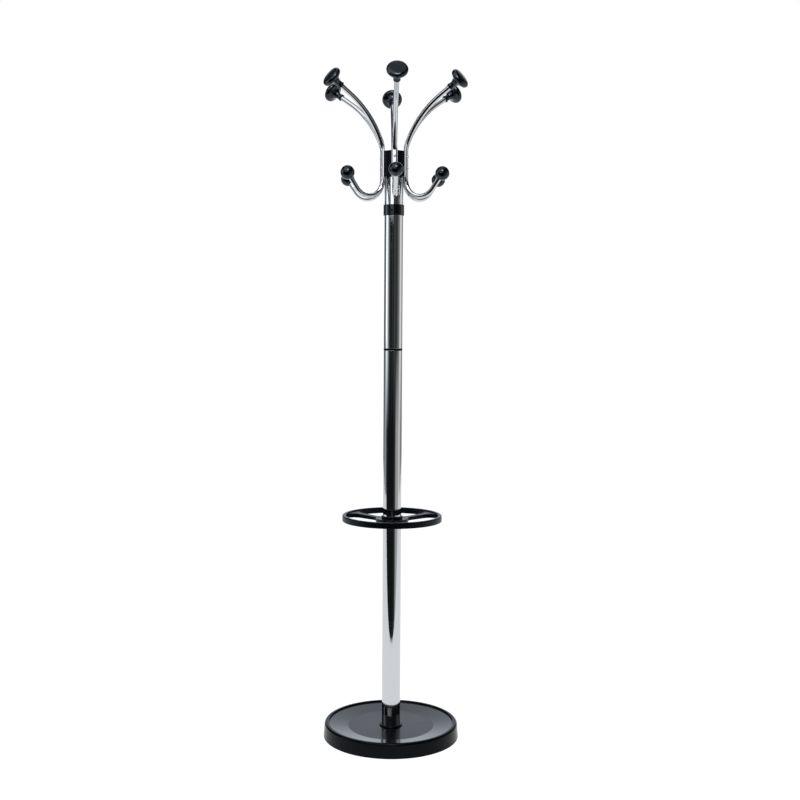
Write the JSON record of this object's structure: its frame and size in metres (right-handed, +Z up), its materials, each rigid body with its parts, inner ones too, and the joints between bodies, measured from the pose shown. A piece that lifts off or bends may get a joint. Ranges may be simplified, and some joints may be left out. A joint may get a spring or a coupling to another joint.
{
  "type": "standing coat rack",
  "caption": "Standing coat rack: round weighted base with drip tray, chromed mast, umbrella ring and a swivelling head of bent arms with knobs above and ball-ended hooks below.",
  "frame": {"origin": "on the floor at the mast's axis, the centre of the base's underside", "axes": "+Z up along the mast, the object's longest extent; the front faces -Y and +X is on the right seen from the front"},
  "size_m": [0.3754, 0.4146, 1.7652],
  "materials": {
    "chrome_tube": "mirror chrome plate",
    "black_base_moulding": "black satin moulding",
    "black_moulding": "black satin moulding",
    "black_hub_moulding": "black satin moulding",
    "gloss_black_band": "polished black",
    "gloss_black_knob": "polished black",
    "cast_weight": "rough casting",
    "black_steel_plate": "black paint",
    "rubber_pad": "matt rubber",
    "zinc_steel": "zinc plate",
    "chrome_screw": "bright plate",
    "white_nylon": "natural nylon"
  },
  "bodies": {
    "stand": {"base_cover": "black_base_moulding", "base_weight": "cast_weight", "base_plate": "black_steel_plate", "base_feet": "rubber_pad", "base_plate_screws": "zinc_steel", "mast_bolt": "zinc_steel", "mast_washer": "zinc_steel", "foot_plug": "black_moulding", "foot_ring": "black_moulding", "lower_tube": "chrome_tube", "umbrella_ring": "black_moulding", "ring_joiner": "black_moulding", "middle_tube": "chrome_tube", "tube_joiner": "black_moulding", "upper_tube": "chrome_tube", "swivel_bush": "white_nylon", "thrust_washer": "white_nylon", "swivel_collar": "gloss_black_band", "collar_screw": "chrome_screw"},
    "head": {"head_plug": "black_moulding", "spindle": "zinc_steel", "spindle_washer": "zinc_steel", "spindle_nut": "zinc_steel", "head_tube": "chrome_tube", "arm_hub": "black_hub_moulding", "hub_cap": "black_hub_moulding", "arm_front": "chrome_tube", "arm_front_right": "chrome_tube", "arm_back_right": "chrome_tube", "arm_back": "chrome_tube", "arm_back_left": "chrome_tube", "arm_front_left": "chrome_tube", "top_knob_front": "gloss_black_knob", "top_knob_front_right": "gloss_black_knob", "top_knob_back_right": "gloss_black_knob", "top_knob_back": "gloss_black_knob", "top_knob_back_left": "gloss_black_knob", "top_knob_front_left": "gloss_black_knob", "lower_ball_front": "gloss_black_knob", "lower_ball_front_right": "gloss_black_knob", "lower_ball_back_right": "gloss_black_knob", "lower_ball_back": "gloss_black_knob", "lower_ball_back_left": "gloss_black_knob", "lower_ball_front_left": "gloss_black_knob", "arm_screws": "chrome_screw"}
  },
  "joints": [
    {"name": "head_swivel", "type": "hinge", "parent": "stand", "child": "head", "pos_m": [0, 0, 1.424], "axis": [0, 0, 1], "continuous": true}
  ]
}
